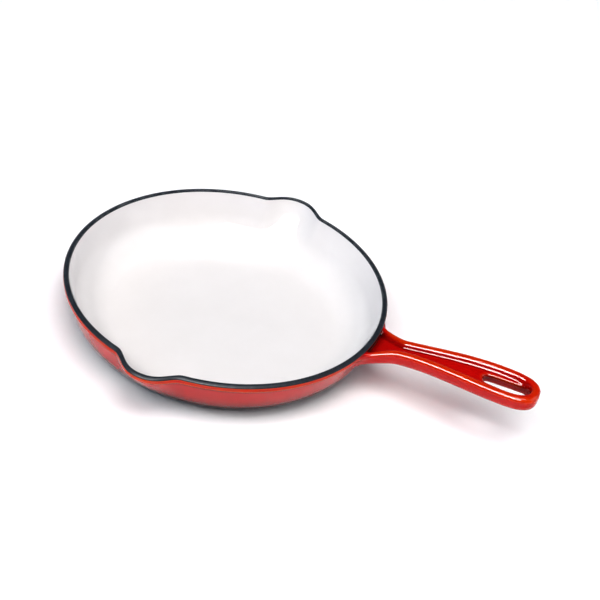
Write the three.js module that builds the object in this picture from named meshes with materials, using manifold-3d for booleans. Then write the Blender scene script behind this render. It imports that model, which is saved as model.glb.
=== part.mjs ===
// Enamelled cast iron skillet with two pour spouts and a hollowed handle with a hanging slot.
// Millimetres, +Z up. The origin is the middle of the base, on the surface the pan stands on,
// and the handle points along +X. The pan is one iron casting under four areas of fired enamel,
// so every piece is cut from the same solid, drawn in from the finished surface by some depth.

import * as THREE from "three";
import { mergeVertices } from "three/addons/utils/BufferGeometryUtils.js";
import Module from "manifold-3d";

// Enamel layers, as depths below the finished surface.
const ENAMEL_THICKNESS = 0.4;
const GAP = 0.3;
const IRON_DEPTH = ENAMEL_THICKNESS + GAP;

// Pan.
const RIM_RADIUS = 130;
const RIM_HEIGHT = 44;
const LIP_HEIGHT = 42.2; // top of the lip's upright side
const LIP_FOOT = 39.2; // bottom of the lip's upright side
const LIP_ROOT = 38; // where the lip's underside meets the wall
const LIP_CORNER = 0.5; // bevel above the lip's upright side
const CREST_RADIUS = 126.4; // highest line of the rim
const WALL_SLOPE = THREE.MathUtils.degToRad(18); // of the wall, out from vertical
const OUTER_WALL_RADIUS = 128.7; // of the outside wall at LIP_ROOT
const OUTER_FILLET = 33.5;
const INNER_WALL_RADIUS = 126; // of the inside wall at RIM_HEIGHT
const INNER_FILLET = 29;
const FLOOR_THICKNESS = 4.8;
const BASE_COAT_RADIUS = 91.6; // just inside the edge of the flat base
const INSIDE_ZONE = 1.6; // how far behind the hollow's surface the inside coat may reach
const RIM_COAT_OUTER = 42.25; // lower edge of the rim's coat, on the outside
const RIM_COAT_INNER = 43.1; // the same, on the inside

// Pour spouts, at +Y and -Y.
const SPOUT_REACH = 12.2;
const SPOUT_HALF_ANGLE = THREE.MathUtils.degToRad(12.8);
const SPOUT_ROOT = 9; // height at which the wall starts to lean out into the spout
const SPOUT_FLATNESS = 2.4; // how wide the spout's nose is
const SPOUT_EASE = 2.2; // how softly the spout leaves the rim

// Handle, by distance from the pan's axis.
const HANDLE_INSIDE = 114; // end of the handle's solid, hidden in the pan's hollow and cut off
const HANDLE_ROOT = 130;
const NECK = 152;
const PALM = 230;
const HANDLE_TIP = 261.5;
const ROOT_HALF_WIDTH = 20.4;
const NECK_HALF_WIDTH = 11;
const PALM_HALF_WIDTH = 17.5;
const ROOT_FLARE = 1.4; // power of the curve from the neck out to the pan
const TIP_SQUARENESS = 3; // powers of the curve round the tip, 2 and 0.5 for an ellipse
const TIP_ROUNDNESS = 0.38;
const HANDLE_BASE_HEIGHT = 41.7; // rail height at the root
const HANDLE_RISE = 12.9; // from the root to the tip
const RISE_START = 131;
const RISE_EASE = 2.7; // power of the rise, which levels out at the tip
const HANDLE_THICKNESS = 12.6;
const UNDERSIDE_ROUND = 5;
const UNDERSIDE_SHARE = 0.8; // largest share of the half width it takes, where the tip closes
const RAIL_ROUND = 3.7;
const RAIL_SHARE = 0.6; // the same for the rails
const CHANNEL_END = 256.5;
const CHANNEL_ROOT_DEPTH = 3.6;
const CHANNEL_DEPTH = 4.4;
const CHANNEL_SLOPE = THREE.MathUtils.degToRad(52); // of the channel's walls, from level
const CHANNEL_FILLET = 2; // between its walls and its floor
const CHANNEL_WALL = 6; // width of a wall from the rail's crest to the channel's floor
const CHANNEL_SHARE = 0.8; // largest share of the width inside the rails that it takes
const CHANNEL_SQUARENESS = 2.6; // of the channel's end round the slot, 2 for an ellipse

// Hanging slot: an egg shape round two circles.
const SLOT_NEAR = { x: 222, radius: 4.8 };
const SLOT_FAR = { x: 247.6, radius: 6.5 };

const CLEARANCE = 3; // how far a cutter passes the surface it cuts

// Facets.
const TURNED_SEGMENTS = 64;
const WALL_ROW = 32; // height of a row of points up the wall, for the spouts' curve
const SPOUT_CROWDING = 0.45; // how far the facets gather towards the spouts
const FILLET_STEPS = 4;
const CORNER_STEPS = 2;
const CHANNEL_STEPS = [0, 0.4, 0.8, 1]; // shares of the channel wall's width
const PALM_STEPS = 10;
const TIP_STEPS = 7;
const TIP_CLOSING_ANGLE = THREE.MathUtils.degToRad(84);
const CAP_MIDDLE_DEPTH = 8.5; // of the middle of the handle's end faces, below the rails
const SLOT_SEGMENTS = 8;

const wasm = await Module();
wasm.setup();
const { smoothstep, lerp, clamp } = THREE.MathUtils;

// A closed geometry as a solid that can be joined and cut.
function solidOf(geometry) {
  geometry.deleteAttribute("normal");
  geometry.deleteAttribute("uv");
  const merged = mergeVertices(geometry, 1e-4);
  return new wasm.Manifold(
    new wasm.Mesh({
      numProp: 3,
      vertProperties: merged.attributes.position.array,
      triVerts: new Uint32Array(merged.index.array),
    }),
  );
}

// How far the rim leans out at an angle, as a share of the spout's reach.
function spoutShape(angle) {
  const away = Math.abs(Math.abs(angle) - Math.PI / 2) / SPOUT_HALF_ANGLE;
  return away < 1 ? (1 - away ** SPOUT_FLATNESS) ** SPOUT_EASE : 0;
}

// A profile of [radius, height] points, turned about the pan's axis and pushed out at the spouts.
function turned(profile) {
  const points = profile.map(([r, z]) => new THREE.Vector2(r, z));
  const geometry = new THREE.LatheGeometry(points, TURNED_SEGMENTS);
  geometry.rotateX(Math.PI / 2);
  const position = geometry.attributes.position;
  for (let i = 0; i < position.count; i++) {
    const x = position.getX(i);
    const y = position.getY(i);
    const z = position.getZ(i);
    const radius = Math.hypot(x, y);
    const even = Math.atan2(y, x);
    const angle = even + (SPOUT_CROWDING / 2) * Math.sin(2 * even);
    const lean = spoutShape(angle) * smoothstep(z, SPOUT_ROOT, LIP_HEIGHT);
    const reach = radius > 1 ? radius + SPOUT_REACH * lean : 0;
    position.setXYZ(i, reach * Math.cos(angle), reach * Math.sin(angle), z);
  }
  return solidOf(geometry);
}

// A flat base, a round fillet and a sloping wall that passes through [wallRadius, wallHeight],
// up to the heights given. Returns [radius, height] points from the axis outwards.
function bowlProfile(floor, fillet, wallRadius, wallHeight, heights) {
  const turn = Math.PI / 2 - WALL_SLOPE;
  const tangentHeight = floor + fillet * (1 - Math.cos(turn));
  const along = (z) => wallRadius + (z - wallHeight) * Math.tan(WALL_SLOPE);
  const centre = along(tangentHeight) - fillet * Math.sin(turn);
  const points = [[0, floor]];
  for (let i = 0; i <= FILLET_STEPS; i++) {
    const a = (turn * i) / FILLET_STEPS;
    points.push([centre + fillet * Math.sin(a), floor + fillet * (1 - Math.cos(a))]);
  }
  heights.forEach((z) => points.push([along(z), z]));
  return points;
}

// The pan's outside, filled to the rim, drawn in by a depth.
function outside(depth) {
  const side = RIM_RADIUS - depth;
  const wallRadius = OUTER_WALL_RADIUS - depth / Math.cos(WALL_SLOPE);
  const wallTop = LIP_ROOT + depth;
  const profile = bowlProfile(depth, OUTER_FILLET - depth, wallRadius, LIP_ROOT, [WALL_ROW, wallTop]);
  profile.push([side, LIP_FOOT + depth]);
  profile.push([side, LIP_HEIGHT - depth]);
  profile.push([side - LIP_CORNER, LIP_HEIGHT + LIP_CORNER - depth]);
  profile.push([CREST_RADIUS, RIM_HEIGHT - depth]);
  profile.push([0, RIM_HEIGHT - depth]);
  return turned(profile);
}

// The pan's hollow, grown by a depth and carried on above the rim.
function hollow(depth) {
  const wallRadius = INNER_WALL_RADIUS + depth / Math.cos(WALL_SLOPE);
  const above = RIM_HEIGHT + CLEARANCE;
  const floor = FLOOR_THICKNESS - depth;
  const fillet = INNER_FILLET + depth;
  const profile = bowlProfile(floor, fillet, wallRadius, RIM_HEIGHT, [WALL_ROW, above]);
  profile.push([0, above]);
  return turned(profile);
}

function handleHalfWidth(x, depth) {
  if (x < NECK) {
    const flare = ROOT_HALF_WIDTH - NECK_HALF_WIDTH;
    return NECK_HALF_WIDTH + flare * ((NECK - x) / (NECK - HANDLE_ROOT)) ** ROOT_FLARE - depth;
  }
  if (x < PALM) {
    return lerp(NECK_HALF_WIDTH, PALM_HALF_WIDTH, smoothstep(x, NECK, PALM)) - depth;
  }
  const along = clamp((x - PALM) / (HANDLE_TIP - depth - PALM), 0, 1);
  return (PALM_HALF_WIDTH - depth) * (1 - along ** TIP_SQUARENESS) ** TIP_ROUNDNESS;
}

function railHeight(x) {
  const left = clamp((HANDLE_TIP - x) / (HANDLE_TIP - RISE_START), 0, 1);
  return HANDLE_BASE_HEIGHT + HANDLE_RISE * (1 - left ** RISE_EASE);
}

// Half the width between the crests of the rails.
function crestHalfWidth(x) {
  return handleHalfWidth(x, 0) - RAIL_ROUND;
}

// How far below a rail's crest the channel is, by distance in from the crest: round over the
// rail, straight down the wall and round again into the floor.
function channelDrop(inset, deepest) {
  const crestDrop = RAIL_ROUND * (1 - Math.cos(CHANNEL_SLOPE));
  const footDrop = CHANNEL_FILLET * (1 - Math.cos(CHANNEL_SLOPE));
  const wallStart = RAIL_ROUND * Math.sin(CHANNEL_SLOPE);
  const wallEnd = wallStart + (deepest - crestDrop - footDrop) / Math.tan(CHANNEL_SLOPE);
  const floorStart = wallEnd + CHANNEL_FILLET * Math.sin(CHANNEL_SLOPE);
  if (inset < wallStart) {
    return RAIL_ROUND - Math.sqrt(RAIL_ROUND ** 2 - Math.max(inset, 0) ** 2);
  }
  if (inset < wallEnd) {
    return crestDrop + (inset - wallStart) * Math.tan(CHANNEL_SLOPE);
  }
  const left = Math.max(floorStart - inset, 0);
  return deepest - CHANNEL_FILLET + Math.sqrt(CHANNEL_FILLET ** 2 - left ** 2);
}

// Height of the handle's top between its rails, where a channel is hollowed out.
function channelHeight(x, y, depth) {
  const crest = crestHalfWidth(Math.min(x, PALM));
  const length = CHANNEL_END - PALM;
  const across = (Math.abs(y) / crest) ** CHANNEL_SQUARENESS;
  const along = (Math.max(x - PALM, 0) / length) ** CHANNEL_SQUARENESS;
  const out = (across + along) ** (1 / CHANNEL_SQUARENESS);
  const inset = (1 - out) * (along > 0 ? lerp(crest, length, along / (across + along)) : crest);
  const deepest = lerp(CHANNEL_ROOT_DEPTH, CHANNEL_DEPTH, smoothstep(x, HANDLE_ROOT, PALM));
  return railHeight(x) - depth - channelDrop(inset, deepest);
}

// The right half of the handle's section at x, from the middle of the underside to the channel.
function halfSection(x, depth) {
  const width = handleHalfWidth(x, depth);
  const top = railHeight(x) - depth;
  const bottom = railHeight(x) - HANDLE_THICKNESS + depth;
  const under = Math.min(UNDERSIDE_ROUND - depth, width * UNDERSIDE_SHARE);
  const rail = Math.min(RAIL_ROUND - depth, width * RAIL_SHARE);
  const wall = Math.min(CHANNEL_WALL, (width - rail) * CHANNEL_SHARE);
  const points = [[0, bottom]];
  for (let i = 0; i <= CORNER_STEPS; i++) {
    const a = (Math.PI / 2) * (i / CORNER_STEPS);
    points.push([width - under * (1 - Math.sin(a)), bottom + under * (1 - Math.cos(a))]);
  }
  for (let i = 0; i < CORNER_STEPS; i++) {
    const a = (Math.PI / 2) * (i / CORNER_STEPS);
    points.push([width - rail * (1 - Math.cos(a)), top - rail * (1 - Math.sin(a))]);
  }
  CHANNEL_STEPS.forEach((share) => {
    const y = width - rail - wall * share;
    points.push([y, channelHeight(x, y, depth)]);
  });
  points.push([0, channelHeight(x, 0, depth)]);
  return points;
}

function wholeSection(x, depth) {
  const right = halfSection(x, depth);
  const left = right.slice(1, -1).map(([y, z]) => [-y, z]);
  return [...right, ...left.reverse()];
}

// The handle: a cylinder whose rings become the handle's sections, from the hollow to the tip.
function handle(depth) {
  const stations = [];
  for (let i = 0; i < PALM_STEPS; i++) {
    stations.push(lerp(HANDLE_INSIDE, PALM, i / PALM_STEPS));
  }
  for (let i = 0; i <= TIP_STEPS; i++) {
    const along = Math.sin((TIP_CLOSING_ANGLE * i) / TIP_STEPS);
    stations.push(lerp(PALM, HANDLE_TIP - depth, along));
  }
  const sections = stations.map((x) => wholeSection(x, depth));
  const sides = sections[0].length;
  const rows = stations.length - 1;
  const geometry = new THREE.CylinderGeometry(1, 1, 1, sides, rows);
  const position = geometry.attributes.position;
  for (let i = 0; i < position.count; i++) {
    const row = Math.round((0.5 - position.getY(i)) * rows);
    const turn = Math.atan2(-position.getX(i), position.getZ(i)) / (2 * Math.PI);
    const side = Math.round((turn + 1) * sides) % sides;
    const middle = Math.hypot(position.getX(i), position.getZ(i)) < 0.5;
    const inside = railHeight(stations[row]) - CAP_MIDDLE_DEPTH;
    const [y, z] = middle ? [0, inside] : sections[row][side];
    position.setXYZ(i, stations[row], y, z);
  }
  return solidOf(geometry);
}

// The hanging slot's cutter, grown by a depth.
function slot(depth) {
  const near = SLOT_NEAR.radius + depth;
  const far = SLOT_FAR.radius + depth;
  const lean = Math.acos((near - far) / (SLOT_FAR.x - SLOT_NEAR.x));
  const outline = new THREE.Shape();
  outline.absarc(SLOT_FAR.x, 0, far, -lean, lean);
  outline.absarc(SLOT_NEAR.x, 0, near, lean, 2 * Math.PI - lean);
  const bottom = HANDLE_BASE_HEIGHT - HANDLE_THICKNESS;
  const geometry = new THREE.ExtrudeGeometry(outline, {
    depth: HANDLE_THICKNESS + HANDLE_RISE + CLEARANCE,
    bevelEnabled: false,
    curveSegments: SLOT_SEGMENTS,
  });
  geometry.translate(0, 0, bottom);
  return solidOf(geometry);
}

// The whole skillet with every surface drawn in by a depth.
function skillet(depth) {
  return outside(depth).add(handle(depth)).subtract(slot(depth)).subtract(hollow(depth));
}

// A ring round the rim, above a line that slants up towards the pan's hollow.
function rimZone(drop) {
  const inner = INNER_WALL_RADIUS - CLEARANCE;
  const outer = RIM_RADIUS + GAP;
  const slant = (RIM_COAT_INNER - RIM_COAT_OUTER) / (RIM_RADIUS - INNER_WALL_RADIUS);
  const line = (r) => RIM_COAT_OUTER + (RIM_RADIUS - r) * slant - drop;
  const above = RIM_HEIGHT + CLEARANCE;
  return turned([
    [inner, line(inner)],
    [outer, line(outer)],
    [outer, above],
    [inner, above],
    [inner, line(inner)],
  ]);
}

// A disc under the middle of the base.
function baseZone(radius) {
  return turned([
    [0, -CLEARANCE],
    [radius, -CLEARANCE],
    [radius, FLOOR_THICKNESS / 2],
    [0, FLOOR_THICKNESS / 2],
  ]);
}

function meshOf(name, solid, material) {
  const { vertProperties, triVerts } = solid.getMesh();
  const geometry = new THREE.BufferGeometry();
  geometry.setAttribute("position", new THREE.BufferAttribute(vertProperties, 3));
  geometry.setIndex(new THREE.BufferAttribute(triVerts, 1));
  geometry.computeVertexNormals();
  const mesh = new THREE.Mesh(geometry, new THREE.MeshStandardMaterial(material));
  mesh.name = name;
  return mesh;
}

const enamel = skillet(0).subtract(skillet(ENAMEL_THICKNESS));
const sidesEnamel = enamel.subtract(rimZone(GAP));
const insideZone = hollow(INSIDE_ZONE);
const outerEnamel = sidesEnamel.subtract(insideZone);

const skilletGroup = new THREE.Group();
skilletGroup.add(
  meshOf("iron_casting", skillet(IRON_DEPTH), {
    color: 0x2b2b2d,
    roughness: 0.75,
    metalness: 0.6,
  }),
  meshOf("interior_enamel", sidesEnamel.intersect(insideZone), {
    color: 0xeee9e4,
    roughness: 0.16,
    metalness: 0,
  }),
  meshOf("exterior_enamel", outerEnamel.subtract(baseZone(BASE_COAT_RADIUS + GAP)), {
    color: 0xb80a06,
    roughness: 0.12,
    metalness: 0,
  }),
  meshOf("rim_enamel", enamel.intersect(rimZone(0)), {
    color: 0x34383c,
    roughness: 0.5,
    metalness: 0,
  }),
  meshOf("base_enamel", enamel.intersect(baseZone(BASE_COAT_RADIUS)), {
    color: 0x1c1c1e,
    roughness: 0.55,
    metalness: 0,
  }),
);

export default skilletGroup;
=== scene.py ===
# Enamelled cast iron skillet. The pan and the handle are drawn as two fine closed surfaces,
# joined, blended into each other, and cut by the hanging slot. The one finished surface is then
# split into its four enamel coats, with the iron casting just under them.
# Lengths are in millimetres up to the meshes, which are in metres like everything in the frame.

import math

import bmesh
import bpy
import numpy as np
from mathutils import Matrix, Vector
from mathutils.bvhtree import BVHTree
from mathutils.interpolate import poly_3d_calc


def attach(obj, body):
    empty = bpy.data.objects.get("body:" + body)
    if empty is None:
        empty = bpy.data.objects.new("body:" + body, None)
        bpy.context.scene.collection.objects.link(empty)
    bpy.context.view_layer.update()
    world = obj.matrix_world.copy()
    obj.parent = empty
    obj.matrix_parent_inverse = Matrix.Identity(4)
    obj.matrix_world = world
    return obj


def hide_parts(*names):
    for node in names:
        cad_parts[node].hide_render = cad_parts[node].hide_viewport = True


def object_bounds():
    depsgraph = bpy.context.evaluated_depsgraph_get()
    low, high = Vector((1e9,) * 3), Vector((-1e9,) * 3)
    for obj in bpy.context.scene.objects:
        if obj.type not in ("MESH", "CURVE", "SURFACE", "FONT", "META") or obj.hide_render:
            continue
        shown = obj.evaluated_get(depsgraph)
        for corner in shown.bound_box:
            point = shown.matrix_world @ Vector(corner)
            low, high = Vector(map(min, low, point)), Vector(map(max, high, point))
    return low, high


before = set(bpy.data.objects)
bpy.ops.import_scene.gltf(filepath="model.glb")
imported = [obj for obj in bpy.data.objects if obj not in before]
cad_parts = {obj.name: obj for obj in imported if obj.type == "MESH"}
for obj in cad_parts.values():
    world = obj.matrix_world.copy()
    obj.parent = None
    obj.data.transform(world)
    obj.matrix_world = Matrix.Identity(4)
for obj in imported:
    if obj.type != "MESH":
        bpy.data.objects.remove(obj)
cad_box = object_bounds()

MM = 0.001

# Pan. Radii are from its axis, and heights from its base.
RIM_RADIUS = 130.0
RIM_HEIGHT = 44.0
LIP_TOP = 42.7
LIP_FOOT = 39.2
LIP_ROOT = 38.0
CREST_RADIUS = 127.7
WALL_SLOPE = math.radians(18)
OUTER_WALL_RADIUS = 128.7
OUTER_FILLET = 33.5
INNER_WALL_RADIUS = 126.0
INNER_FILLET = 29.0
FLOOR_THICKNESS = 4.8
BASE_COAT_RADIUS = 91.6
HALF_WALL = 2.0

# Heights at which the rim's coat ends outside and inside, and how far apart those ends are.
RIM_COAT_OUTER = 42.15
RIM_COAT_INNER = 42.6
RIM_COAT_WIDTH = 4.0

# Spouts.
SPOUT_REACH = 12.2
SPOUT_HALF_ANGLE = math.radians(12.8)
SPOUT_ROOT = 9.0
SPOUT_FLATNESS = 2.4
SPOUT_EASE = 2.2
SPOUT_FADE_RADIUS = 60.0

# Handle.
HANDLE_START = 124.0
HANDLE_ROOT = 130.0
NECK = 152.0
PALM = 230.0
HANDLE_TIP = 261.5
ROOT_HALF_WIDTH = 20.4
NECK_HALF_WIDTH = 11.0
PALM_HALF_WIDTH = 17.5
ROOT_FLARE = 1.4
TIP_SQUARENESS = 3.0
TIP_ROUNDNESS = 0.38
HANDLE_BASE_HEIGHT = 41.7
HANDLE_RISE = 12.9
RISE_START = 131.0
RISE_EASE = 2.7
HANDLE_THICKNESS = 12.6
UNDERSIDE_ROUND = 5.0
RAIL_ROUND = 3.7
CHANNEL_END = 256.5
CHANNEL_ROOT_DEPTH = 3.6
CHANNEL_DEPTH = 4.4
CHANNEL_SLOPE = math.radians(52)
CHANNEL_FILLET = 2.0
CHANNEL_SQUARENESS = 2.6
SLOT_NEAR = (222.0, 4.8)
SLOT_FAR = (247.6, 6.5)
ROOT_LENGTH = 26.0
CUTTER_DEPTH = 8.0

# Coats.
ENAMEL_THICKNESS = 0.4
IRON_DEPTH = 0.55

# Blends. SIDE_BLEND and TOP_BLEND are the reach at the handle's sides and along its top.
SIDE_BLEND = 6.0
TOP_BLEND = 1.0
SLOT_BLEND = 2.6
SLOT_BLEND_START = SLOT_NEAR[0] - SLOT_NEAR[1] - 6
RIM_FADE = 1.2
LEAST_BLEND = 0.05
BLEND_START = 100.0
BLEND_SIDE = 45.0
BLEND_ROUNDS = 4
FURTHEST_MOVE = 4.0
BEND_ROUNDS = 6

# Fineness of the meshes, in points or steps.
PAN_POINTS = 336
ANGLE_SAMPLES = 7201
OUTLINE_POINTS = 176
OUTLINE_SAMPLES = 400
ROUND_STEPS = 6
UNDERSIDE_STEPS = 8
CHANNEL_STEPS = 24
TINY = 1e-6


def smooth(x, low, high):
    t = np.clip((np.asarray(x, float) - low) / (high - low), 0, 1)
    return t * t * (3 - 2 * t)


def lerp(a, b, t):
    return a + (b - a) * t


# ---------------------------------------------------------------- pan

def wall_radius(radius, height, z):
    return radius + (z - height) * math.tan(WALL_SLOPE)


def rounded_profile(corners, longest):
    """Points along a line of (r, z, rounding, steps) corners, with each corner turned into an arc."""
    ends = []
    for i, (r, z, rounding, steps) in enumerate(corners):
        here = np.array([r, z])
        if rounding == 0:
            ends.append([here])
            continue
        back = np.array(corners[i - 1][:2]) - here
        ahead = np.array(corners[i + 1][:2]) - here
        back /= np.linalg.norm(back)
        ahead /= np.linalg.norm(ahead)
        half = math.acos(np.clip(back @ ahead, -1, 1)) / 2
        middle = here + (back + ahead) / np.linalg.norm(back + ahead) * rounding / math.sin(half)
        first = here + back * rounding / math.tan(half)
        sweep = math.pi - 2 * half
        start = first - middle
        side = np.sign(start[1] * back[0] - start[0] * back[1])
        arc = []
        for k in range(steps + 1):
            a = side * sweep * k / steps
            turn = np.array([[math.cos(a), -math.sin(a)], [math.sin(a), math.cos(a)]])
            arc.append(middle + turn @ start)
        ends.append(arc)
    points = list(ends[0])
    for i in range(1, len(ends)):
        a, b = points[-1], ends[i][0]
        pieces = max(1, math.ceil(np.linalg.norm(b - a) / longest[i - 1]))
        points += [a + (b - a) * k / pieces for k in range(1, pieces)]
        points += ends[i]
    return np.array(points)


PAN_PROFILE = rounded_profile(
    [
        (0, 0, 0, 0),
        (BASE_COAT_RADIUS, 0, 0, 0),
        (wall_radius(OUTER_WALL_RADIUS, LIP_ROOT, 0), 0, OUTER_FILLET, 22),
        (OUTER_WALL_RADIUS, LIP_ROOT, 0.9, 4),
        (RIM_RADIUS, LIP_FOOT, 0.8, 4),
        (RIM_RADIUS, LIP_TOP, 2.2, 8),
        (CREST_RADIUS, RIM_HEIGHT, 2.5, 5),
        (INNER_WALL_RADIUS, RIM_HEIGHT, 0.8, 7),
        (wall_radius(INNER_WALL_RADIUS, RIM_HEIGHT, FLOOR_THICKNESS), FLOOR_THICKNESS, INNER_FILLET, 22),
        (0, FLOOR_THICKNESS, 0, 0),
    ],
    [12, 1, 1.2, 1, 0.8, 0.6, 0.5, 1.1, 12],
)


def spout_shape(angle):
    away = np.abs(np.abs(angle) - math.pi / 2) / SPOUT_HALF_ANGLE
    return np.clip(1 - np.minimum(away, 1) ** SPOUT_FLATNESS, 0, 1) ** SPOUT_EASE


def spout_push(angle, z):
    return SPOUT_REACH * spout_shape(angle) * smooth(z, SPOUT_ROOT, LIP_TOP)


def turned_angles(count):
    """Angles round the pan, closer together at the spouts and the handle."""
    spout_band, spout_extra = 0.26, 0.9
    handle_band, handle_extra = 0.24, 1.6
    fine = np.linspace(-math.pi, math.pi, ANGLE_SAMPLES)
    near_spout = np.exp(-((np.abs(fine) - math.pi / 2) / spout_band) ** 4)
    near_handle = np.exp(-(fine / handle_band) ** 4)
    density = 1 + spout_extra * near_spout + handle_extra * near_handle
    total = np.concatenate([[0], np.cumsum((density[1:] + density[:-1]) / 2)])
    return np.interp(np.arange(count) / count * total[-1], total, fine)


def pan_surface(count=PAN_POINTS):
    rings = PAN_PROFILE[1:-1]
    angle = turned_angles(count)
    r = rings[:, :1]
    z = rings[:, 1:]
    reach = r + spout_push(angle[None, :], z) * np.minimum(r / SPOUT_FADE_RADIUS, 1)
    grid = np.stack(
        [reach * np.cos(angle), reach * np.sin(angle), np.broadcast_to(z, reach.shape)], axis=-1
    )
    verts = np.concatenate([grid.reshape(-1, 3), [[0, 0, PAN_PROFILE[0][1]], [0, 0, PAN_PROFILE[-1][1]]]])
    rows = len(rings)
    faces = []
    for i in range(rows - 1):
        for j in range(count):
            k = (j + 1) % count
            faces.append((i * count + j, i * count + k, (i + 1) * count + k, (i + 1) * count + j))
    low, high = rows * count, rows * count + 1
    for j in range(count):
        k = (j + 1) % count
        faces.append((low, k, j))
        faces.append((high, (rows - 1) * count + j, (rows - 1) * count + k))
    return verts, faces


# ---------------------------------------------------------------- handle

def half_width(x):
    x = np.asarray(x, float)
    flare = (ROOT_HALF_WIDTH - NECK_HALF_WIDTH) * (
        np.maximum(NECK - x, 0) / (NECK - HANDLE_ROOT)
    ) ** ROOT_FLARE
    palm = lerp(NECK_HALF_WIDTH, PALM_HALF_WIDTH, smooth(x, NECK, PALM))
    u = np.clip((x - PALM) / (HANDLE_TIP - PALM), 0, 1)
    tip = PALM_HALF_WIDTH * (1 - u ** TIP_SQUARENESS) ** TIP_ROUNDNESS
    return np.where(x < PALM, palm + flare, tip)


def rail_height(x):
    left = np.clip((HANDLE_TIP - np.asarray(x, float)) / (HANDLE_TIP - RISE_START), 0, 1)
    return HANDLE_BASE_HEIGHT + HANDLE_RISE * (1 - left ** RISE_EASE)


def channel_drop(x, y):
    """How far the handle's top is below its rails: round over a rail, straight down the channel's
    wall and round again into its floor."""
    crest = half_width(np.minimum(x, PALM)) - RAIL_ROUND
    length = CHANNEL_END - PALM
    across = (np.abs(y) / crest) ** CHANNEL_SQUARENESS
    along = (np.maximum(x - PALM, 0) / length) ** CHANNEL_SQUARENESS
    out = (across + along) ** (1 / CHANNEL_SQUARENESS)
    inset = (1 - out) * lerp(crest, length, along / np.maximum(across + along, 1e-9))
    inset = np.maximum(inset, 0)
    deepest = lerp(CHANNEL_ROOT_DEPTH, CHANNEL_DEPTH, smooth(x, HANDLE_ROOT, PALM))
    crest_drop = RAIL_ROUND * (1 - math.cos(CHANNEL_SLOPE))
    foot_drop = CHANNEL_FILLET * (1 - math.cos(CHANNEL_SLOPE))
    wall_start = RAIL_ROUND * math.sin(CHANNEL_SLOPE)
    wall_end = wall_start + (deepest - crest_drop - foot_drop) / math.tan(CHANNEL_SLOPE)
    left = np.clip(wall_end + CHANNEL_FILLET * math.sin(CHANNEL_SLOPE) - inset, 0, CHANNEL_FILLET)
    over_rail = RAIL_ROUND - np.sqrt(RAIL_ROUND ** 2 - np.minimum(inset, wall_start) ** 2)
    down_wall = crest_drop + (inset - wall_start) * math.tan(CHANNEL_SLOPE)
    into_floor = deepest - CHANNEL_FILLET + np.sqrt(CHANNEL_FILLET ** 2 - left ** 2)
    return np.where(inset < wall_start, over_rail, np.where(inset < wall_end, down_wall, into_floor))


def handle_outline():
    """One side of the handle's outline in plan, from the pan to the tip, at even spacing."""
    along = np.concatenate([
        np.linspace(HANDLE_START, PALM, OUTLINE_SAMPLES, endpoint=False),
        PALM + (HANDLE_TIP - PALM) * np.sin(np.linspace(0, math.pi / 2, OUTLINE_SAMPLES)),
    ])
    side = half_width(along)
    length = np.concatenate([[0], np.cumsum(np.hypot(np.diff(along), np.diff(side)))])
    even = np.linspace(0, length[-1], OUTLINE_POINTS)
    return np.interp(even, length, along), np.interp(even, length, side)


def handle_columns():
    """The columns of one row across the handle, from the middle of its underside to the middle of its
    top, each as what it lies on, then how far in from the edge or along, then how far up or down."""
    quarter = np.linspace(0, math.pi / 2, ROUND_STEPS + 1)
    columns = [("spine_under", share, 0) for share in np.linspace(0, 1, UNDERSIDE_STEPS + 1)[:-1]]
    for a in quarter:
        columns.append(("under", UNDERSIDE_ROUND * (1 - math.sin(a)), UNDERSIDE_ROUND * (1 - math.cos(a))))
    columns += [("side", share, 0) for share in (0.25, 0.5, 0.75)]
    for a in quarter:
        columns.append(("rail", RAIL_ROUND * (1 - math.cos(a)), -RAIL_ROUND * (1 - math.sin(a))))
    columns += [("spine_top", share, 0) for share in np.linspace(0, 1, CHANNEL_STEPS + 1)[1:]]
    return columns


def column_plan(kind, a, outline, inward, spine):
    """Where a column lies in plan, for every row."""
    if kind == "spine_under":
        return lerp(spine, outline + inward * UNDERSIDE_ROUND, a)
    if kind == "spine_top":
        return lerp(outline + inward * RAIL_ROUND, spine, a)
    if kind == "side":
        return outline
    return outline + inward * a


def column_height(kind, a, b, x, y):
    """How high a column is at each of its rows."""
    rail = rail_height(x)
    floor = rail - HANDLE_THICKNESS
    if kind == "spine_under":
        return floor
    if kind == "under":
        return floor + b
    if kind == "side":
        return lerp(floor + UNDERSIDE_ROUND, rail - RAIL_ROUND, a)
    if kind == "rail":
        return rail + b
    return rail - channel_drop(x, y)


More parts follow.
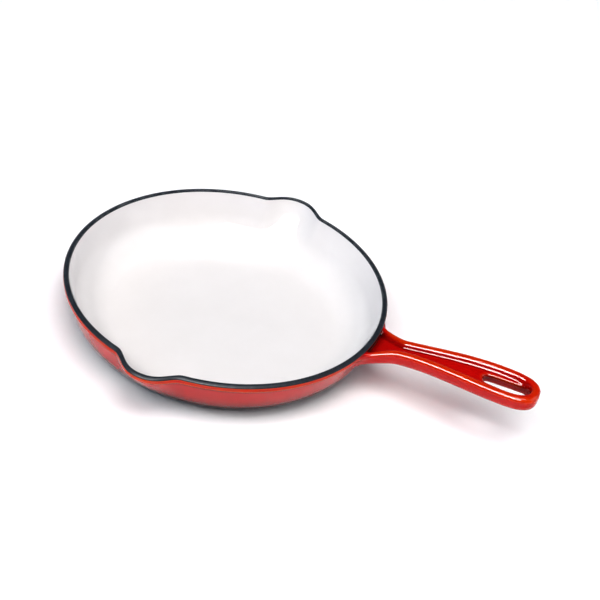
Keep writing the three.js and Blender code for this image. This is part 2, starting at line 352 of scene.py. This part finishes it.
def handle_surface():
    """Rows across the handle, one for each point of its outline, from the pan round to the pan."""
    x, y = handle_outline()
    outline = np.stack([np.concatenate([x, x[-2::-1]]), np.concatenate([y, -y[-2::-1]])], axis=-1)
    tangent = np.gradient(outline, axis=0)
    inward = np.stack([tangent[:, 1], -tangent[:, 0]], axis=-1)
    inward /= np.linalg.norm(inward, axis=1, keepdims=True)
    tip = len(x) - 1
    inward[tip] = (-1, 0)

    # near the pan a row is an arc about the pan's axis, and leans with the pan's wall
    root = 1 - smooth(outline[:, 0], HANDLE_START, HANDLE_START + ROOT_LENGTH)
    spine_x = np.minimum(outline[:, 0], PALM)
    spine_x = lerp(spine_x, np.hypot(outline[:, 0], outline[:, 1]), root)
    spine = np.stack([spine_x, np.zeros_like(spine_x)], axis=-1)

    columns = handle_columns()
    grid = np.zeros((len(outline), len(columns), 3))
    for c, (kind, a, b) in enumerate(columns):
        plan = column_plan(kind, a, outline, inward, spine)
        share = np.clip(np.abs(plan[:, 1]) / np.maximum(np.abs(outline[:, 1]), TINY), 0, 1)
        arc = spine_x - (spine_x - outline[:, 0]) * share ** 2
        px = lerp(plan[:, 0], arc, root)
        py = plan[:, 1]
        pz = column_height(kind, a, b, px, py)
        lean = (pz - (rail_height(px) - HANDLE_THICKNESS / 2)) * math.tan(WALL_SLOPE)
        grid[:, c] = np.stack([px + lean * root, py, pz], axis=-1)

    rows, cols = grid.shape[:2]
    verts = list(grid.reshape(-1, 3))
    faces = []
    for i in range(rows - 1):
        for j in range(cols - 1):
            faces.append((i * cols + j, i * cols + j + 1, (i + 1) * cols + j + 1, (i + 1) * cols + j))
    # the end inside the pan's wall
    loop = list(range(cols)) + [rows * cols - 1 - j for j in range(cols)]
    middle = np.mean([verts[k] for k in loop], axis=0)
    middle[1] = 0
    middle[2] = float(rail_height(HANDLE_START)) - 0.7 * HANDLE_THICKNESS
    centre = len(verts)
    verts.append(middle)
    for a, b in zip(loop, loop[1:] + loop[:1]):
        faces.append((centre, b, a))
    return np.array(verts), faces


def straight(start, end, count):
    """Evenly spaced points between two points, without either of them."""
    return [tuple(lerp(np.array(start), np.array(end), k / count)) for k in range(1, count)]


def slot_surface(rings=46, spacing=0.55, side_steps=44, far_steps=48, near_steps=34):
    """The hanging slot's cutter: an egg round two circles, straight up through the handle."""
    (x0, r0), (x1, r1) = SLOT_NEAR, SLOT_FAR
    lean = math.acos((r0 - r1) / (x1 - x0))
    far_turn = np.linspace(-lean, lean, far_steps)
    near_turn = np.linspace(lean, 2 * math.pi - lean, near_steps)
    far_end = [(x1 + r1 * math.cos(a), r1 * math.sin(a)) for a in far_turn]
    near_end = [(x0 + r0 * math.cos(a), r0 * math.sin(a)) for a in near_turn]
    plan = far_end + straight(far_end[-1], near_end[0], side_steps)
    plan += near_end + straight(near_end[-1], far_end[0], side_steps)
    count = len(plan)
    bottom = HANDLE_BASE_HEIGHT - CUTTER_DEPTH
    verts = []
    for i in range(rings):
        verts += [(px, py, bottom + i * spacing) for px, py in plan]
    faces = []
    for i in range(rings - 1):
        for j in range(count):
            k = (j + 1) % count
            faces.append((i * count + j, i * count + k, (i + 1) * count + k, (i + 1) * count + j))
    faces.append(tuple(range(count - 1, -1, -1)))
    faces.append(tuple((rings - 1) * count + j for j in range(count)))
    return np.array(verts), faces


# ---------------------------------------------------------------- joining

def make_object(name, verts, faces):
    """A new object in the scene, from lists of points and faces."""
    mesh = bpy.data.meshes.new(name)
    mesh.from_pydata([tuple(v) for v in verts], [], faces)
    mesh.validate()
    obj = bpy.data.objects.new(name, mesh)
    bpy.context.scene.collection.objects.link(obj)
    return obj


def closed_object(name, verts, faces, merge=1e-3):
    """A closed surface with its normals outwards, and with points that coincide made one."""
    obj = make_object(name, verts, faces)
    work = bmesh.new()
    work.from_mesh(obj.data)
    bmesh.ops.remove_doubles(work, verts=work.verts, dist=merge)
    bmesh.ops.dissolve_degenerate(work, edges=work.edges, dist=1e-5)
    bmesh.ops.recalc_face_normals(work, faces=work.faces)
    if work.calc_volume(signed=True) < 0:
        bmesh.ops.reverse_faces(work, faces=work.faces)
    open_edges = sum(1 for e in work.edges if len(e.link_faces) != 2)
    print(name, "open edges", open_edges, "volume", round(work.calc_volume() / 1000, 2))
    work.to_mesh(obj.data)
    work.free()
    return obj


def cut(obj, other, operation):
    """Joins another closed surface to an object, or takes it away, and keeps the result."""
    modifier = obj.modifiers.new("cut", "BOOLEAN")
    modifier.operation = operation
    modifier.object = other
    modifier.solver = "MANIFOLD"
    graph = bpy.context.evaluated_depsgraph_get()
    done = bpy.data.meshes.new_from_object(obj.evaluated_get(graph))
    obj.modifiers.clear()
    old = obj.data
    obj.data = done
    bpy.data.meshes.remove(old)
    return obj


class Nearest:
    """A closed mesh, asked for the distance to a point and the normal at the place nearest to it."""

    def __init__(self, obj):
        mesh = obj.data
        mesh.calc_loop_triangles()
        self.points = [v.co.copy() for v in mesh.vertices]
        self.normals = [v.normal.copy() for v in mesh.vertices]
        self.triangles = [tuple(t.vertices) for t in mesh.loop_triangles]
        self.tree = BVHTree.FromPolygons(self.points, self.triangles)

    def signed(self, point):
        """The distance, negative inside, and the normal, which turns evenly from face to face."""
        near, facing, index, distance = self.tree.find_nearest(point)
        corners = self.triangles[index]
        weights = poly_3d_calc([self.points[k] for k in corners], near)
        normal = Vector((0, 0, 0))
        for k, weight in zip(corners, weights):
            normal += self.normals[k] * weight
        inside = (point - near).dot(facing) < 0
        return (-distance if inside else distance), normal.normalized()


def blend_low(a, ga, b, gb, k):
    """The lower of two distances, rounded over where they are within k of each other."""
    h = max(k - abs(a - b), 0) / k if k > TINY else 0
    share = h / 2
    value = min(a, b) - h * h * k / 4
    return (value, ga * (1 - share) + gb * share) if a < b else (value, gb * (1 - share) + ga * share)


pan = closed_object("pan", *pan_surface())
handle = closed_object("handle", *handle_surface())
slot_cutter = closed_object("slot", *slot_surface())
near_pan, near_handle, near_slot = Nearest(pan), Nearest(handle), Nearest(slot_cutter)
cut(pan, handle, "UNION")
cut(pan, slot_cutter, "DIFFERENCE")


def field(point):
    """The finished surface's distance near the handle's root and the slot's edges, and its slope.
    The blend narrows towards the rim, so that the rim's own edge stays as it is."""
    a, ga = near_pan.signed(point)
    b, gb = near_handle.signed(point)
    upward = float(smooth(gb.z, 0.2, 0.8))
    k = lerp(SIDE_BLEND, TOP_BLEND, upward)
    if math.hypot(point.x, point.y) < RIM_RADIUS + 1:
        k *= min(max((RIM_COAT_OUTER - point.z) / RIM_FADE, LEAST_BLEND), 1)
    value, slope = blend_low(a, ga, b, gb, k)
    if point.x > SLOT_BLEND_START:
        c, gc = near_slot.signed(point)
        inverse, inverse_slope = blend_low(-value, -slope, c, gc, SLOT_BLEND)
        value, slope = -inverse, -inverse_slope
    return value, slope


def finish_surface(obj):
    """Tidies the joined mesh and moves its vertices near the joins onto the blended surface."""
    work = bmesh.new()
    work.from_mesh(obj.data)
    bmesh.ops.remove_doubles(work, verts=work.verts, dist=0.06)
    bmesh.ops.dissolve_degenerate(work, edges=work.edges, dist=1e-3)
    work.normal_update()
    moved = {}
    for v in work.verts:
        p = v.co.copy()
        radius = math.hypot(p.x, p.y)
        inside_wall = radius < wall_radius(OUTER_WALL_RADIUS, LIP_ROOT, p.z) - 1.0
        on_rim = radius < RIM_RADIUS + 0.5 and p.z > RIM_COAT_OUTER - 0.02
        if p.x < BLEND_START or abs(p.y) > BLEND_SIDE or inside_wall or on_rim:
            continue
        slope = None
        for _ in range(BLEND_ROUNDS):
            value, slope = field(p)
            p = p - slope * (value / max(slope.length_squared, 0.2))
        if (p - v.co).length < FURTHEST_MOVE:
            moved[v.index] = slope.normalized()
            v.co = p
    work.normal_update()
    work.to_mesh(obj.data)
    open_edges = sum(1 for e in work.edges if len(e.link_faces) != 2)
    print("finished surface", len(work.verts), "verts", len(work.faces), "faces")
    print("moved", len(moved), "open edges", open_edges)
    work.free()
    return moved


def vertex_values(mesh, name):
    values = np.empty(len(mesh.vertices) * 3)
    mesh.vertices.foreach_get(name, values)
    return values.reshape(-1, 3)


def convexity(mesh, verts, normals):
    """How convex a surface is at each vertex, per millimetre, evened out over its neighbours."""
    edges = np.empty(len(mesh.edges) * 2, dtype=int)
    mesh.edges.foreach_get("vertices", edges)
    edges = edges.reshape(-1, 2)
    step = verts[edges[:, 1]] - verts[edges[:, 0]]
    turn = normals[edges[:, 1]] - normals[edges[:, 0]]
    along = (turn * step).sum(axis=1) / np.maximum((step ** 2).sum(axis=1), 0.01)
    bend = np.zeros(len(verts))
    ways = np.zeros(len(verts))
    for side in (0, 1):
        np.add.at(bend, edges[:, side], along)
        np.add.at(ways, edges[:, side], 1)
    ways = np.maximum(ways, 1)
    bend /= ways
    for _ in range(BEND_ROUNDS):
        total = np.zeros(len(verts))
        np.add.at(total, edges[:, 0], bend[edges[:, 1]])
        np.add.at(total, edges[:, 1], bend[edges[:, 0]])
        bend = 0.5 * bend + 0.5 * total / ways
    return bend


moved = finish_surface(pan)
surface = pan.data
verts = vertex_values(surface, "co")
normals = vertex_values(surface, "normal")
for index, normal in moved.items():
    if normal.dot(Vector(normals[index])) > 0.5:
        normals[index] = normal
bend = convexity(surface, verts, normals)
polygons = [tuple(p.vertices) for p in surface.polygons]
facing_up = [p.normal.z > 0 for p in surface.polygons]


# ---------------------------------------------------------------- pieces

def region_of(face, upward):
    """Which coat a face is in. Its own radius is the one that it would have without the spouts."""
    x, y, z = verts[list(face)].mean(axis=0)
    radius = math.hypot(x, y)
    own = radius - float(spout_push(math.atan2(y, x), z)) * min(radius / SPOUT_FADE_RADIUS, 1)
    if own < RIM_RADIUS + 0.3:
        inwards = np.clip((RIM_RADIUS - own) / RIM_COAT_WIDTH, 0, 1)
        if z > lerp(RIM_COAT_OUTER, RIM_COAT_INNER, inwards):
            return "rim"
        middle = wall_radius(INNER_WALL_RADIUS, RIM_HEIGHT, z) + HALF_WALL
        if upward and z > FLOOR_THICKNESS - 0.3 and own < middle:
            return "inside"
        if z < 0.2 and own < BASE_COAT_RADIUS:
            return "base"
    return "outside"


regions = {"rim": [], "inside": [], "base": [], "outside": []}
for face, upward in zip(polygons, facing_up):
    regions[region_of(face, upward)].append(face)


def piece(name, faces, depth):
    """A closed piece: some faces of the finished surface, and the same faces drawn in by a depth."""
    used = np.unique(np.concatenate([np.array(f) for f in faces]))
    place = {int(v): i for i, v in enumerate(used)}
    outer = verts[used]
    inner = outer - normals[used] * depth
    n = len(used)
    mesh_faces = [tuple(place[v] for v in f) for f in faces]
    directed = set()
    for f in mesh_faces:
        for a, b in zip(f, f[1:] + f[:1]):
            directed.add((a, b))
    border = [(a, b) for a, b in directed if (b, a) not in directed]
    all_faces = mesh_faces + [tuple(v + n for v in reversed(f)) for f in mesh_faces]
    all_faces += [(b, a, a + n, b + n) for a, b in border]
    points = np.concatenate([outer, inner]) * MM
    obj = make_object(name, points, all_faces)
    mesh = obj.data
    mesh.shade_smooth()
    shade = np.concatenate([normals[used], -normals[used]])
    convex = mesh.attributes.new("convex", "FLOAT", "POINT")
    convex.data.foreach_set("value", np.concatenate([bend[used], bend[used]]).astype(np.float32))
    mesh.normals_split_custom_set_from_vertices([tuple(v) for v in shade])
    return obj


def solid_piece(name, faces, depth):
    """A closed piece: the whole finished surface drawn in by a depth."""
    points = (verts - normals * depth) * MM
    obj = make_object(name, points, faces)
    obj.data.shade_smooth()
    return obj


ivory = piece("interior_coat", regions["inside"], ENAMEL_THICKNESS)
red = piece("exterior_coat", regions["outside"], ENAMEL_THICKNESS)
rim = piece("rim_coat", regions["rim"], ENAMEL_THICKNESS)
base = piece("base_coat", regions["base"], ENAMEL_THICKNESS)
iron = solid_piece("iron_body", polygons, IRON_DEPTH)
for obj in (pan, handle, slot_cutter):
    bpy.data.objects.remove(obj)


# ---------------------------------------------------------------- materials

class Nodes:
    """A material and a short way to add nodes to it."""

    def __init__(self, name):
        self.material = bpy.data.materials.new(name)
        self.material.use_nodes = True
        self.tree = self.material.node_tree
        self.shader = self.tree.nodes["Principled BSDF"]
        self.where = self.add("ShaderNodeTexCoord").outputs["Object"]

    def add(self, kind, **values):
        node = self.tree.nodes.new(kind)
        for key, value in values.items():
            setattr(node, key, value)
        return node

    def link(self, a, b):
        self.tree.links.new(a, b)

    def noise(self, scale, detail=4.0, roughness=0.5, distortion=0.0):
        node = self.add("ShaderNodeTexNoise")
        self.link(self.where, node.inputs["Vector"])
        node.inputs["Scale"].default_value = scale
        node.inputs["Detail"].default_value = detail
        node.inputs["Roughness"].default_value = roughness
        node.inputs["Distortion"].default_value = distortion
        return node.outputs["Fac"]

    def ramp(self, value, stops):
        node = self.add("ShaderNodeValToRGB")
        self.link(value, node.inputs["Fac"])
        band = node.color_ramp
        while len(band.elements) < len(stops):
            band.elements.new(0.5)
        for element, (at, colour) in zip(band.elements, stops):
            element.position = at
            element.color = (*colour, 1) if isinstance(colour, tuple) else (colour, colour, colour, 1)
        return node.outputs["Color"]

    def scaled(self, value, low, high, to_low=0.0, to_high=1.0):
        node = self.add("ShaderNodeMapRange")
        self.link(value, node.inputs["Value"])
        for key, number in (("From Min", low), ("From Max", high), ("To Min", to_low), ("To Max", to_high)):
            node.inputs[key].default_value = number
        return node.outputs["Result"]

    def math(self, operation, a, b):
        node = self.add("ShaderNodeMath", operation=operation)
        for socket, value in zip(node.inputs, (a, b)):
            if isinstance(value, (int, float)):
                socket.default_value = value
            else:
                self.link(value, socket)
        return node.outputs["Value"]

    def mix(self, share, a, b):
        node = self.add("ShaderNodeMix", data_type="RGBA")
        if isinstance(share, (int, float)):
            node.inputs[0].default_value = share
        else:
            self.link(share, node.inputs[0])
        for socket, value in ((node.inputs[6], a), (node.inputs[7], b)):
            if isinstance(value, tuple):
                socket.default_value = (*value, 1)
            else:
                self.link(value, socket)
        return node.outputs[2]

    def attribute(self, name):
        node = self.add("ShaderNodeAttribute", attribute_name=name)
        return node.outputs["Fac"]

    def openness(self, distance):
        """1 where nothing is near, falling in a corner, a groove or close to the table."""
        node = self.add("ShaderNodeAmbientOcclusion", samples=8)
        node.inputs["Distance"].default_value = distance
        return node.outputs["AO"]

    def bump(self, height, strength, distance, under=None):
        node = self.add("ShaderNodeBump")
        node.inputs["Strength"].default_value = strength
        node.inputs["Distance"].default_value = distance
        self.link(height, node.inputs["Height"])
        if under is not None:
            self.link(under, node.inputs["Normal"])
        return node.outputs["Normal"]

    def set(self, **values):
        for key, value in values.items():
            socket = self.shader.inputs[key.replace("_", " ")]
            if isinstance(value, (int, float)):
                socket.default_value = value
            elif isinstance(value, tuple):
                socket.default_value = (*value, 1)
            else:
                self.link(value, socket)


def red_enamel():
    """Thin and orange over edges and darker in hollows, with painted shade: near black in the deepest
    creases, and dark and dull in crevices, grooves and close to the table.
    """
    m = Nodes("red_enamel")
    convex = m.attribute("convex")
    mottle = m.noise(55, 4, 0.55)
    body = m.ramp(mottle, [(0.3, (0.46, 0.0014, 0.001)), (0.7, (0.53, 0.003, 0.002))])
    thin = m.math("MULTIPLY", m.scaled(convex, 0.05, 0.24), m.scaled(mottle, 0.3, 0.7, 0.5, 1.0))
    colour = m.mix(thin, body, (0.60, 0.066, 0.0015))
    colour = m.mix(m.scaled(convex, -0.03, -0.25, 0, 0.8), colour, (0.20, 0.0006, 0.0008))
    # Painted shade: the colour goes near black where the surface is most concave, in creases and crevices.
    colour = m.mix(m.scaled(convex, -0.15, -0.42, 0, 0.92), colour, (0.012, 0.0002, 0.0003))
    # Painted shade: from the ambient occlusion, the colour goes near black and the reflection dims in
    # crevices, in the slot and on the lower wall close to the table.
    openness = m.openness(0.034)
    colour = m.mix(m.scaled(openness, 0.42, 0.90), (0.03, 0.0004, 0.0004), colour)
    shine = m.scaled(openness, 0.36, 0.78, 0.03, 0.48)
    peel = m.bump(m.noise(420, 2, 0.4), 0.06, 0.00005)
    roughness = m.scaled(m.noise(180, 5, 0.6), 0.3, 0.75, 0.04, 0.09)
    m.set(Base_Color=colour, Roughness=roughness, IOR=1.39, Specular_IOR_Level=shine, Normal=peel)
    return m.material


def ivory_enamel():
    m = Nodes("ivory_enamel")
    mottle = m.noise(26, 5, 0.6)
    colour = m.ramp(mottle, [(0.32, (0.735, 0.708, 0.700)), (0.68, (0.755, 0.728, 0.722))])
    specks = m.noise(900, 2, 0.5)
    colour = m.mix(m.scaled(specks, 0.74, 0.80, 0, 0.35), colour, (0.62, 0.58, 0.53))
    peel = m.bump(m.noise(380, 2, 0.4), 0.10, 0.00006)
    waves = m.bump(m.noise(45, 2, 0.4), 0.2, 0.0001, peel)
    roughness = m.scaled(m.noise(140, 5, 0.6), 0.3, 0.75, 0.05, 0.10)
    m.set(Base_Color=colour, Roughness=roughness, IOR=1.42, Normal=waves)
    return m.material


def rim_enamel():
    m = Nodes("rim_enamel")
    mottle = m.noise(240, 6, 0.65)
    colour = m.ramp(mottle, [
        (0.3, (0.013, 0.017, 0.022)),
        (0.55, (0.022, 0.028, 0.036)),
        (0.75, (0.038, 0.047, 0.058)),
    ])
    convex = m.attribute("convex")
    worn = m.math("MULTIPLY", m.scaled(convex, 0.18, 0.6), m.scaled(m.noise(120, 6, 0.7), 0.45, 0.65))
    colour = m.mix(worn, colour, (0.09, 0.095, 0.10))
    grit = m.bump(m.noise(1500, 4, 0.6), 0.35, 0.00012)
    roughness = m.scaled(m.noise(300, 5, 0.6), 0.3, 0.7, 0.28, 0.42)
    m.set(Base_Color=colour, Roughness=roughness, IOR=1.24, Normal=grit)
    return m.material


def base_enamel():
    m = Nodes("base_enamel")
    mottle = m.noise(130, 6, 0.65)
    colour = m.ramp(mottle, [(0.3, (0.010, 0.010, 0.011)), (0.7, (0.028, 0.028, 0.030))])
    scratches = m.add("ShaderNodeTexNoise")
    stretch = m.add("ShaderNodeMapping")
    stretch.inputs["Scale"].default_value = (1.0, 16.0, 1.0)
    stretch.inputs["Rotation"].default_value = (0, 0, 0.5)
    m.link(m.where, stretch.inputs["Vector"])
    m.link(stretch.outputs["Vector"], scratches.inputs["Vector"])
    scratches.inputs["Scale"].default_value = 60
    worn = m.scaled(scratches.outputs["Fac"], 0.62, 0.72, 0, 0.7)
    colour = m.mix(worn, colour, (0.085, 0.085, 0.088))
    grit = m.bump(m.noise(1400, 4, 0.6), 0.5, 0.00018)
    roughness = m.scaled(m.noise(250, 5, 0.6), 0.3, 0.7, 0.48, 0.72)
    m.set(Base_Color=colour, Roughness=roughness, IOR=1.5, Normal=grit)
    return m.material


def cast_iron():
    m = Nodes("cast_iron")
    grain = m.noise(900, 8, 0.7)
    colour = m.ramp(grain, [(0.3, (0.020, 0.020, 0.022)), (0.7, (0.060, 0.058, 0.056))])
    rough = m.bump(grain, 0.7, 0.0004)
    roughness = m.scaled(m.noise(300, 5, 0.6), 0.3, 0.7, 0.55, 0.85)
    m.set(Base_Color=colour, Metallic=0.75, Roughness=roughness, Normal=rough)
    return m.material


def table_top():
    m = Nodes("table_top")
    faint = m.noise(3, 3, 0.5)
    colour = m.ramp(faint, [(0.3, (0.93, 0.93, 0.935)), (0.7, (0.945, 0.945, 0.95))])
    roughness = m.scaled(m.noise(1.5, 2, 0.5), 0.3, 0.7, 0.32, 0.35)
    m.set(Base_Color=colour, Roughness=roughness, IOR=1.30)
    return m.material


for obj, material, node, slot in (
    (ivory, ivory_enamel(), "interior_enamel", "ivory_enamel"),
    (red, red_enamel(), "exterior_enamel", "red_enamel"),
    (rim, rim_enamel(), "rim_enamel", "rim_enamel"),
    (base, base_enamel(), "base_enamel", "base_enamel"),
    (iron, cast_iron(), "iron_casting", "iron"),
):
    obj.data.materials.append(material)
    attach(obj, "root")
    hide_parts(node)


# ---------------------------------------------------------------- studio

HALF_FLOOR = 20.0
floor_level = cad_box[0][2]
signs = ((-1, -1), (1, -1), (1, 1), (-1, 1))
corners = [(sx * HALF_FLOOR, sy * HALF_FLOOR, floor_level) for sx, sy in signs]
floor = make_object("table", corners, [(0, 1, 2, 3)])
floor.data.materials.append(table_top())

CAMERA_AIM = Vector((57.7, 15.5, 38.3)) * MM
CAMERA_DISTANCE = 1001.4 * MM
CAMERA_AZIMUTH = math.radians(18.1)
CAMERA_ELEVATION = math.radians(37.23)
CAMERA_ROLL = math.radians(11.06)
CAMERA_LENS = 75.0
CAMERA_SENSOR = 36.0
CAMERA_NEAREST = 0.05

back = Vector((
    math.sin(CAMERA_AZIMUTH) * math.cos(CAMERA_ELEVATION),
    -math.cos(CAMERA_AZIMUTH) * math.cos(CAMERA_ELEVATION),
    math.sin(CAMERA_ELEVATION),
))
right = Vector((math.cos(CAMERA_AZIMUTH), math.sin(CAMERA_AZIMUTH), 0))
up = back.cross(right)
camera_x = right * math.cos(CAMERA_ROLL) + up * math.sin(CAMERA_ROLL)
camera_y = -right * math.sin(CAMERA_ROLL) + up * math.cos(CAMERA_ROLL)
camera_data = bpy.data.cameras.new("camera")
camera_data.lens = CAMERA_LENS
camera_data.sensor_width = CAMERA_SENSOR
camera_data.clip_start = CAMERA_NEAREST
camera = bpy.data.objects.new("camera", camera_data)
turned = Matrix((camera_x, camera_y, back)).transposed().to_4x4()
camera.matrix_world = Matrix.Translation(CAMERA_AIM + back * CAMERA_DISTANCE) @ turned
bpy.context.scene.collection.objects.link(camera)
bpy.context.scene.camera = camera


def softbox(name, azimuth, elevation, distance, width, height, radiance, colour):
    """A soft light aimed at the pan, with its width level. Azimuth 0 is behind the object as the
    camera sees it, and 90 is to its right. Its radiance is how bright a mirror would show it."""
    a = CAMERA_AZIMUTH - math.radians(azimuth)
    e = math.radians(elevation)
    towards = Vector((-math.sin(a) * math.cos(e), math.cos(a) * math.cos(e), math.sin(e)))
    across = Vector((0, 0, 1)).cross(towards).normalized()
    data = bpy.data.lights.new(name, "AREA")
    data.shape = "RECTANGLE"
    data.size = width
    data.size_y = height
    data.energy = radiance * math.pi * width * height
    data.color = colour
    light = bpy.data.objects.new(name, data)
    turned = Matrix((across, towards.cross(across), towards)).transposed().to_4x4()
    light.matrix_world = Matrix.Translation(CAMERA_AIM + towards * distance) @ turned
    bpy.context.scene.collection.objects.link(light)
    return light


# The key light is on the camera's side. The sheen stands just in front of it and shows in
# reflections only, so that they are as bright as in the photograph. The blue fill gives none.
KEY_AZIMUTH = 203
KEY_ELEVATION = 54
KEY_COLOUR = (1.0, 0.99, 0.985)
HORIZON = (0.76, 0.78, 0.93, 1)
ZENITH = (0.03, 0.03, 0.035, 1)
VIEW_GAMMA = 0.85
softbox("key", KEY_AZIMUTH, KEY_ELEVATION, 9.0, 9.5, 3.4, 5.9, KEY_COLOUR)
sheen = softbox("sheen", KEY_AZIMUTH, KEY_ELEVATION, 8.8, 9.0, 3.6, 38.0, KEY_COLOUR)
sheen.visible_diffuse = False
softbox("overhead", 150, 75, 9.0, 5.2, 3.8, 8.4, (1.0, 1.0, 1.0))
fill = softbox("left", -100, 22, 3.0, 1.6, 1.6, 2.0, (0.42, 0.70, 1.0))
fill.visible_glossy = False
softbox("right", 85, 30, 3.0, 2.6, 1.8, 1.8, (0.92, 0.95, 1.0))

world = bpy.data.worlds.new("studio")
bpy.context.scene.world = world
world.use_nodes = True
nodes = world.node_tree.nodes
links = world.node_tree.links
direction = nodes.new("ShaderNodeTexCoord")
split = nodes.new("ShaderNodeSeparateXYZ")
ramp = nodes.new("ShaderNodeValToRGB")
links.new(direction.outputs["Generated"], split.inputs["Vector"])
links.new(split.outputs["Z"], ramp.inputs["Fac"])
ramp.color_ramp.elements[0].position = 0.04
ramp.color_ramp.elements[0].color = HORIZON
ramp.color_ramp.elements[1].position = 0.24
ramp.color_ramp.elements[1].color = ZENITH
links.new(ramp.outputs["Color"], nodes["Background"].inputs["Color"])
nodes["Background"].inputs["Strength"].default_value = 1.0
bpy.context.scene.view_settings.view_transform = "Standard"
bpy.context.scene.view_settings.gamma = VIEW_GAMMA
